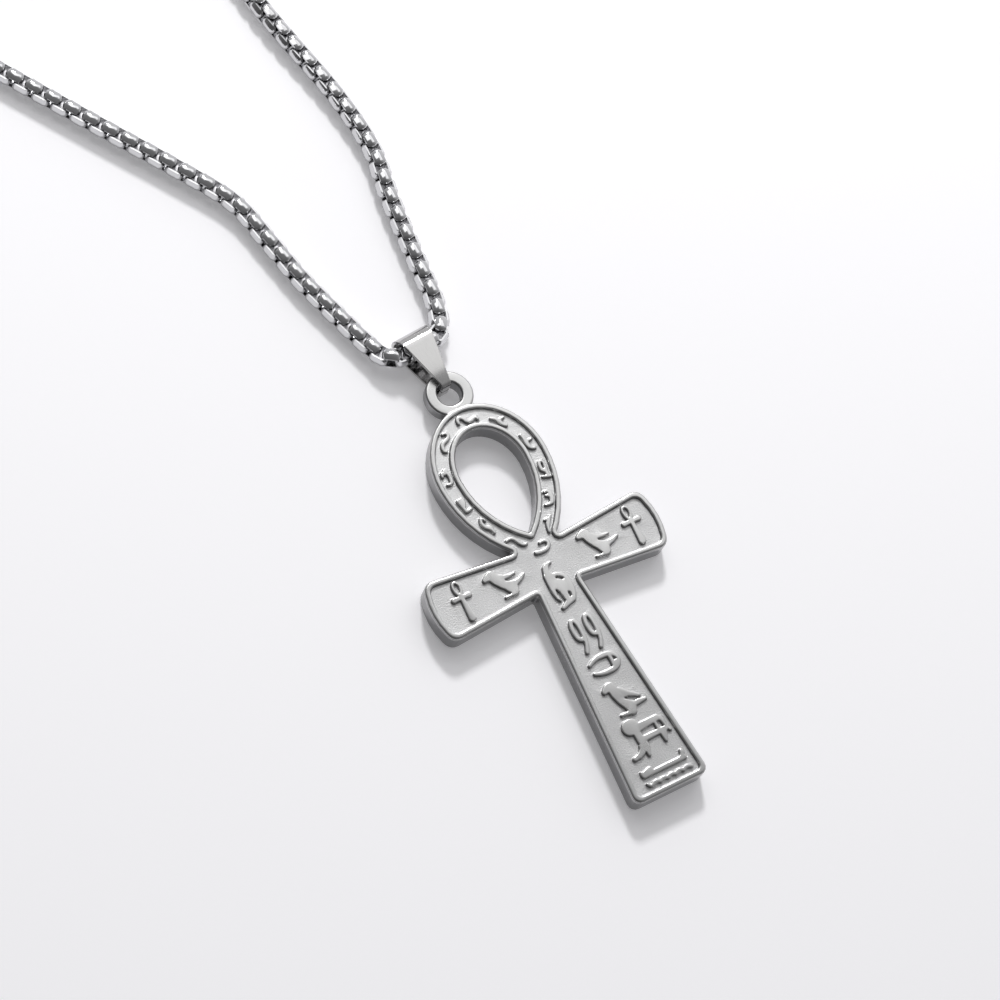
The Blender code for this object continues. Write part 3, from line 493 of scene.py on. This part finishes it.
# %% [markdown]
# ## The chain's route
#
# The chain is a string of links along one smooth curve. The curve's points are the few that
# were chosen for the solid model's tube: down from the clasp, through the bail and up again.

# %% The chain's route
CHAIN_DIAMETER = 2.5 * MM
FOLD_HEIGHT = 1.95 * MM     # the chain's middle inside the bail's fold
BAIL_MIDDLE = Vector((-0.627, 33.435)) * MM
BAIL_LEAN = math.radians(6.0)
ROUTE_DOWN = (
    (-16, 274), (-4, 262), (3, 242), (6, 212), (5, 178), (2.7, 145), (1.6, 112), (3.5, 83.4),
    (6.6, 67.5), (7.2, 59.3), (6.2, 53.3), (5.5, 47.5), (4.9, 41.8), (4.7, 39.3),
)
ROUTE_BAIL = (
    (5.1, 2.9, 0.12), (4.1, 1.1, 0.60), (3.1, 0.25, 0.95), (2.0, 0.0, 1.0), (0.0, 0.0, 1.0),
    (-2.0, 0.0, 1.0), (-3.1, 0.25, 0.95), (-4.0, 1.3, 0.60), (-4.6, 3.4, 0.12),
)
ROUTE_UP = (
    (-7.3, 41.7), (-8.9, 47.1), (-10.1, 52.9), (-11.6, 59.2), (-16, 66.3), (-20.5, 72.8),
    (-29.1, 85.4), (-43, 106), (-56, 131), (-66, 162), (-70, 194), (-70, 225), (-64, 253),
    (-54, 270),
)
CLASP_AT = Vector((-38.0, 277.0)) * MM
CLASP_TURN = math.radians(4.0)
CLASP_WAY = Vector((math.cos(CLASP_TURN), math.sin(CLASP_TURN)))
CLASP_LENGTH = 11.0 * MM    # between the centres of its two eyes
END_RING_RADIUS = 1.6 * MM  # to the middle of the wire
END_RING_WIRE = 0.8 * MM
END_RING_HEIGHT = END_RING_RADIUS + END_RING_WIRE / 2
STEPS_A_SPAN = 24           # points on the curve between two chosen ones
LEAST_KNOT = 1e-6           # keeps two knots apart at the route's ends, which lack a neighbour

# One link, which the end rings pass through
LINK_PITCH = 1.30 * MM      # from one link to the next, which is turned a quarter
LINK_LENGTH = 2.30 * MM
LINK_BAND = 1.42 * MM       # width of the band
LINK_WALL = 0.46 * MM


def strand_reach():
    """From the clasp's middle to the middle of the first link, whose end lies in the end ring."""
    inner = END_RING_RADIUS - END_RING_WIRE / 2
    room = math.sqrt(inner ** 2 - (LINK_BAND / 2) ** 2)
    return CLASP_LENGTH / 2 + END_RING_RADIUS + room - LINK_WALL + LINK_LENGTH / 2


def chain_route():
    """The chosen points as places in space, from one end ring to the other."""
    towards_tips = Vector((math.sin(BAIL_LEAN), -math.cos(BAIL_LEAN)))
    across = Vector((math.cos(BAIL_LEAN), math.sin(BAIL_LEAN)))
    resting = CHAIN_DIAMETER / 2
    down = [CLASP_AT + CLASP_WAY * strand_reach()] + [Vector(point) * MM for point in ROUTE_DOWN]
    up_again = [Vector(point) * MM for point in ROUTE_UP] + [CLASP_AT - CLASP_WAY * strand_reach()]
    route = [Vector((*point, resting)) for point in down]
    for sideways, away, climb in ROUTE_BAIL:
        place = BAIL_MIDDLE + across * (sideways * MM) - towards_tips * (away * MM)
        route.append(Vector((*place, resting + (FOLD_HEIGHT - resting) * climb)))
    route += [Vector((*point, resting)) for point in up_again]
    for end in (route[0], route[-1]):
        end.z = END_RING_HEIGHT
    return route


def smooth(route, steps):
    """A smooth curve through all the points, with knots spaced by the root of their distance."""
    points = []
    for index in range(len(route) - 1):
        before = route[max(index - 1, 0)]
        start, end = route[index], route[index + 1]
        after = route[min(index + 2, len(route) - 1)]
        knots = [0.0]
        for first, second in ((before, start), (start, end), (end, after)):
            knots.append(knots[-1] + max((second - first).length ** 0.5, LEAST_KNOT))
        for step in range(steps):
            here = knots[1] + (knots[2] - knots[1]) * step / steps
            a1 = before.lerp(start, (here - knots[0]) / (knots[1] - knots[0]))
            a2 = start.lerp(end, (here - knots[1]) / (knots[2] - knots[1]))
            a3 = end.lerp(after, (here - knots[2]) / (knots[3] - knots[2]))
            b1 = a1.lerp(a2, (here - knots[0]) / (knots[2] - knots[0]))
            b2 = a2.lerp(a3, (here - knots[1]) / (knots[3] - knots[1]))
            points.append(b1.lerp(b2, (here - knots[1]) / (knots[2] - knots[1])))
    points.append(route[-1])
    return points


chain_curve = smooth(chain_route(), STEPS_A_SPAN)
chain_length = sum((there - here).length for here, there in zip(chain_curve, chain_curve[1:]))
print("chain", round(chain_length / MM), "mm along its curve")

# %% [markdown]
# ## One link
#
# A round box chain is made of short bands, each bent into a closed loop with rounded corners
# and a domed outside. The link starts as a block, as wide as the flat middle of the band, and
# its four corners are bevelled. An inset that also moves outwards makes the dome, a second one
# makes the band's flat edge, and bridging the two side faces opens the block into a band. A
# chain has hundreds of these, so a link has only six dozen faces, and its roundness comes from
# smooth shading.

# %% One link
LINK_FLAT = 0.42 * MM       # width of the flat middle of the band
LINK_DOME = 0.27 * MM       # how far that middle stands out over the band's edges
LINK_CORNER = 0.52 * MM     # how much of each corner of the loop is rounded off


def choose(thing, kind, test):
    """In edit mode, select only the edges or the faces that a test accepts."""
    pick(thing)
    bpy.ops.object.mode_set(mode="EDIT")
    bpy.ops.mesh.select_mode(type=kind)
    bpy.ops.mesh.select_all(action="DESELECT")
    mesh = bmesh.from_edit_mesh(thing.data)
    for item in mesh.edges if kind == "EDGE" else mesh.faces:
        item.select = test(item)
    mesh.select_flush_mode()
    bmesh.update_edit_mesh(thing.data)


def is_corner(edge):
    """Whether an edge is one of the block's four that run across the band."""
    first, second = edge.verts
    return abs(first.co.y - second.co.y) > 0.5 * LINK_FLAT


def is_side(face):
    """Whether a face is one of the two that look along the band's axis."""
    return abs(face.normal.y) > 0.9


def make_link():
    """One link round its own middle: the chain runs along X and the band goes round Y."""
    bpy.ops.object.select_all(action="DESELECT")
    bpy.ops.mesh.primitive_cube_add(size=1.0)
    link = bpy.context.object
    link.scale = (LINK_LENGTH, LINK_FLAT, CHAIN_DIAMETER)
    apply_place(link)
    choose(link, "EDGE", is_corner)
    bpy.ops.mesh.bevel(offset=LINK_CORNER, segments=2, affect="EDGES")
    choose(link, "FACE", is_side)
    bpy.ops.mesh.inset(thickness=LINK_DOME, depth=(LINK_BAND - LINK_FLAT) / 2)
    bpy.ops.mesh.inset(thickness=LINK_WALL - LINK_DOME)
    bpy.ops.mesh.bridge_edge_loops()
    bpy.ops.object.mode_set(mode="OBJECT")
    bpy.ops.object.shade_smooth_by_angle(angle=math.radians(50))
    return link


link = make_link()
print("one link has", len(link.data.polygons), "faces and spans",
      [round(size / MM, 2) for size in link.dimensions], "mm")

# %% [markdown]
# ## The whole chain
#
# The link is copied along the curve, each copy turned a quarter against the one before. The
# strand on the right also rolls about its own line, as a lying chain does, so there two rows of
# plates catch the light. A short table says how far it has rolled at some distances from the
# bail. The first and the last link lie flat, because the end rings stand on edge in them.

# %% The whole chain
ROLLS = (       # distance from the bail towards the first end, in millimetres; roll in degrees
    (0, 0), (20, 0), (45, -12), (62, -30), (90, -38), (130, -30), (180, 0), (400, 0),
)


def along(points):
    """The distance travelled at each point of a line."""
    distances = [0.0]
    for here, there in zip(points, points[1:]):
        distances.append(distances[-1] + (there - here).length)
    return distances


def evenly(points, count):
    """Places an equal distance apart from the line's start to its end, with their directions."""
    distances = along(points)
    places = []
    segment = 0
    for index in range(count):
        wanted = distances[-1] * index / (count - 1)
        while segment < len(points) - 2 and distances[segment + 1] < wanted:
            segment += 1
        here, there = points[segment], points[segment + 1]
        share = (wanted - distances[segment]) / (distances[segment + 1] - distances[segment])
        places.append((here.lerp(there, share), (there - here).normalized(), wanted))
    return places


def roll_at(distance):
    """The strand's roll in radians at a distance from the bail, read from the table."""
    for (near, roll_near), (far, roll_far) in zip(ROLLS, ROLLS[1:]):
        if near * MM <= distance < far * MM:
            share = (distance - near * MM) / ((far - near) * MM)
            return math.radians(roll_near + (roll_far - roll_near) * share)
    return 0.0


def make_chain():
    """Copies of the link along the curve, joined into one piece."""
    bail_place = Vector((*BAIL_MIDDLE, FOLD_HEIGHT))
    from_bail = [(point - bail_place).length for point in chain_curve]
    to_bail = along(chain_curve)[from_bail.index(min(from_bail))]
    count = 2 * round(chain_length / LINK_PITCH / 2) + 1
    copies = []
    for index, (place, way, distance) in enumerate(evenly(chain_curve, count)):
        sideways = Vector((0.0, 0.0, 1.0)).cross(way).normalized()
        upwards = way.cross(sideways)
        roll = roll_at(to_bail - distance) + (0.0 if index % 2 else math.pi / 2)
        copy = link.copy()
        copy.data = link.data.copy()
        bpy.context.scene.collection.objects.link(copy)
        turned = Matrix((way, sideways, upwards)).transposed().to_4x4()
        copy.matrix_world = Matrix.Translation(place) @ turned @ Matrix.Rotation(roll, 4, "X")
        copies.append(copy)
    pick(copies[0])
    for copy in copies:
        copy.select_set(True)
    bpy.ops.object.join()
    print(count, "links, the bail", round(to_bail / MM), "mm from the first of them")
    return copies[0]


chain = make_chain()
bpy.data.objects.remove(link)
finish_piece(chain, "box_chain", "chain", mirror_steel)

# %% [markdown]
# ## Bail
#
# The bail is one strip of sheet steel, folded loosely round the chain, whose tapered ends are
# bent towards each other through the pendant's ring. It is made as the real one is: the strip's
# cross-section is drawn out along its path, straight where the strip is straight and spun round
# an axis where it is bent. Then a slanting plane cuts each side to the taper, and the edges are
# rounded. The two ends don't quite meet, as on the real bail.

# %% Bail
STRIP = 0.4 * MM            # thickness of the sheet
BAIL_WIDTH = 4.7 * MM
BAIL_TIP_WIDTH = 1.15 * MM
BAIL_LENGTH = 6.0 * MM      # from the chain's middle to the middle of the closed ends
FRONT_HEIGHT = 2.95 * MM    # middle of the sheet at the front's lower end
SEAM_HEIGHT = 1.62 * MM     # where the two ends face each other
SEAM_GAP = 0.10 * MM
FOLD_RADIUS = FOLD_HEIGHT - STRIP / 2
FOLD_STEPS = 26
TIP_BEND = 0.36 * MM        # radius of the bends at the ends, to the sheet's middle
TIP_STEPS = 5
EDGE_ROUND = 0.07 * MM


def draw_on(*step):
    """Extrude what is selected by one straight step."""
    bpy.ops.mesh.extrude_region_move(TRANSFORM_OT_translate={"value": step})


def bend_on(centre, angle, steps):
    """Spin what is selected about a centre, given as x and z, from the front under to the back."""
    bpy.ops.mesh.spin(steps=steps, angle=angle, center=(centre[0], 0.0, centre[1]),
                      axis=(0.0, -1.0, 0.0))


def make_bail():
    """The strip with X towards its ends and Y along the chain, then turned into its place."""
    corner = Vector((BAIL_LENGTH, FRONT_HEIGHT - FOLD_HEIGHT))
    lean = math.acos(FOLD_RADIUS / corner.length) + math.atan2(corner.y, corner.x)
    leaves_fold = FOLD_RADIUS * Vector((math.cos(lean), math.sin(lean)))
    front = (corner - leaves_fold).normalized()
    tip_turn = math.pi / 2 + math.atan2(front.y, front.x)
    to_bend = TIP_BEND * math.tan(tip_turn / 2)

    bpy.ops.object.select_all(action="DESELECT")
    bpy.ops.mesh.primitive_plane_add(
        size=1.0, location=(BAIL_LENGTH, 0.0, SEAM_HEIGHT - SEAM_GAP / 2))
    bail = bpy.context.object
    bail.scale = (STRIP, BAIL_WIDTH, 1.0)
    apply_place(bail)
    bpy.ops.object.mode_set(mode="EDIT")
    bpy.ops.mesh.select_all(action="SELECT")
    draw_on(0.0, 0.0, STRIP / 2 + TIP_BEND - SEAM_HEIGHT + SEAM_GAP / 2)
    bend_on((BAIL_LENGTH - TIP_BEND, STRIP / 2 + TIP_BEND), math.pi / 2, TIP_STEPS)
    draw_on(TIP_BEND - BAIL_LENGTH, 0.0, 0.0)
    bend_on((0.0, FOLD_HEIGHT), 1.5 * math.pi - lean, FOLD_STEPS)
    run = (corner - leaves_fold).length - to_bend
    draw_on(front.x * run, 0.0, front.y * run)
    bend_start = leaves_fold + front * run
    centre = bend_start + Vector((front.y, -front.x)) * TIP_BEND
    bend_on((centre.x, FOLD_HEIGHT + centre.y), tip_turn, TIP_STEPS)
    draw_on(0.0, 0.0, SEAM_HEIGHT + SEAM_GAP / 2 - FOLD_HEIGHT - centre.y)
    close_mesh()

    taper_length = BAIL_LENGTH + FOLD_HEIGHT
    narrowing = (BAIL_WIDTH - BAIL_TIP_WIDTH) / 2
    for side in (1, -1):
        bpy.ops.mesh.select_all(action="SELECT")
        bpy.ops.mesh.bisect(plane_co=(-FOLD_HEIGHT, side * BAIL_WIDTH / 2, 0.0),
                            plane_no=Vector((narrowing, side * taper_length, 0.0)).normalized(),
                            threshold=SAME_POINT, use_fill=True, clear_outer=True)
    bpy.ops.object.mode_set(mode="OBJECT")
    bpy.ops.object.shade_smooth_by_angle(angle=math.radians(35))
    use_modifier(bail, "BEVEL", width=EDGE_ROUND, segments=3, limit_method="ANGLE",
                 angle_limit=math.radians(50), harden_normals=True)
    bail.rotation_euler = (0.0, 0.0, BAIL_LEAN - math.pi / 2)
    bail.location = (*BAIL_MIDDLE, 0.0)
    return bail


bail = make_bail()
finish_piece(bail, "folded_bail", "bail", sheet_steel)

# %% [markdown]
# ## End rings
#
# A jump ring is a turn of round wire whose ends are pressed together, which leaves a fine slit.
# The wire's cross-section is spun almost all the way round. The ring stands on edge, through the
# clasp's eye and the chain's last link.

# %% End rings
WIRE_SIDES = 14
RING_STEPS = 40
RING_SLIT = math.radians(2.5)


def make_end_ring(side):
    """The ring at the clasp's right end, for a side of 1, or at its left end, for -1."""
    bpy.ops.object.select_all(action="DESELECT")
    bpy.ops.mesh.primitive_circle_add(vertices=WIRE_SIDES, radius=END_RING_WIRE / 2,
                                      fill_type="NGON", location=(0.0, END_RING_RADIUS, 0.0),
                                      rotation=(0.0, math.pi / 2, 0.0))
    ring = bpy.context.object
    apply_place(ring)
    bpy.ops.object.mode_set(mode="EDIT")
    bpy.ops.mesh.select_all(action="SELECT")
    bpy.ops.mesh.spin(steps=RING_STEPS, angle=2 * math.pi - RING_SLIT, center=(0.0, 0.0, 0.0),
                      axis=(0.0, 0.0, 1.0))
    close_mesh()
    bpy.ops.object.mode_set(mode="OBJECT")
    bpy.ops.object.shade_smooth_by_angle(angle=math.radians(40))
    place = CLASP_AT + CLASP_WAY * (side * (CLASP_LENGTH / 2 + END_RING_RADIUS))
    ring.rotation_euler = (math.pi / 2, 0.0, CLASP_TURN)
    ring.location = (*place, END_RING_HEIGHT)
    return ring


for end, side in (("a", 1), ("b", -1)):
    ring = make_end_ring(side)
    finish_piece(ring, "jump_ring_" + end, "end_ring_" + end, mirror_steel)

# %% [markdown]
# ## Clasp
#
# The clasp lies outside the picture, so it is a plain closed one: a flat oval pebble with a thin
# eye at either end for the end rings. The pebble is a drum whose rims are rounded broadly, and
# the eyes are thin discs joined to it and bored through. Booleans suit that, because the bevel
# that follows them rounds the new seams.

# %% Clasp
CLASP_WIDTH = 4.6 * MM
CLASP_THICKNESS = 2.4 * MM
CLASP_BODY = 0.84           # length of the body as a share of CLASP_LENGTH
CLASP_ROUND = 0.85 * MM
SEAM_ROUND = 0.06 * MM      # where the eyes join the body
EYE_RADIUS = 1.4 * MM
EYE_HOLE = 0.85 * MM
EYE_THICKNESS = 0.9 * MM
EYE_ROUND = 0.2 * EYE_THICKNESS
HOLE_ROUND = 0.1 * EYE_HOLE
DRUM_SIDES = 64


def rounded_drum(place, radii, thickness, round_off, segments):
    """A drum whose top and bottom rims are rounded."""
    bpy.ops.object.select_all(action="DESELECT")
    bpy.ops.mesh.primitive_cylinder_add(vertices=DRUM_SIDES, radius=1.0, depth=thickness,
                                        location=place)
    drum = bpy.context.object
    drum.scale = (*radii, 1.0)
    apply_place(drum)
    choose(drum, "EDGE", lambda edge: edge.calc_face_angle(0.0) > math.radians(60))
    bpy.ops.mesh.bevel(offset=round_off, segments=segments, affect="EDGES")
    bpy.ops.object.mode_set(mode="OBJECT")
    return drum


def combine(thing, operation, other):
    """Join another solid to this one, or cut its shape out, and remove the other."""
    use_modifier(thing, "BOOLEAN", operation=operation, object=other)
    bpy.data.objects.remove(other)


def make_clasp():
    """The pebble with its two bored eyes, made along X and then turned into its place."""
    middles = [(side * CLASP_LENGTH / 2, 0.0, END_RING_HEIGHT) for side in (-1, 1)]
    clasp = rounded_drum((0.0, 0.0, CLASP_THICKNESS / 2),
                         (CLASP_LENGTH * CLASP_BODY / 2, CLASP_WIDTH / 2),
                         CLASP_THICKNESS, CLASP_ROUND, 6)
    for middle in middles:
        eye = rounded_drum(middle, (EYE_RADIUS, EYE_RADIUS), EYE_THICKNESS, EYE_ROUND, 3)
        combine(clasp, "UNION", eye)
    for middle in middles:
        bore = rounded_drum(middle, (EYE_HOLE, EYE_HOLE), 2 * CLASP_THICKNESS, HOLE_ROUND, 1)
        combine(clasp, "DIFFERENCE", bore)
    use_modifier(clasp, "BEVEL", width=SEAM_ROUND, segments=2, limit_method="ANGLE",
                 angle_limit=math.radians(55))
    bpy.ops.object.shade_smooth_by_angle(angle=math.radians(40))
    clasp.rotation_euler = (0.0, 0.0, CLASP_TURN)
    clasp.location = (*CLASP_AT, 0.0)
    return clasp


clasp = make_clasp()
finish_piece(clasp, "closed_clasp", "clasp", mirror_steel)
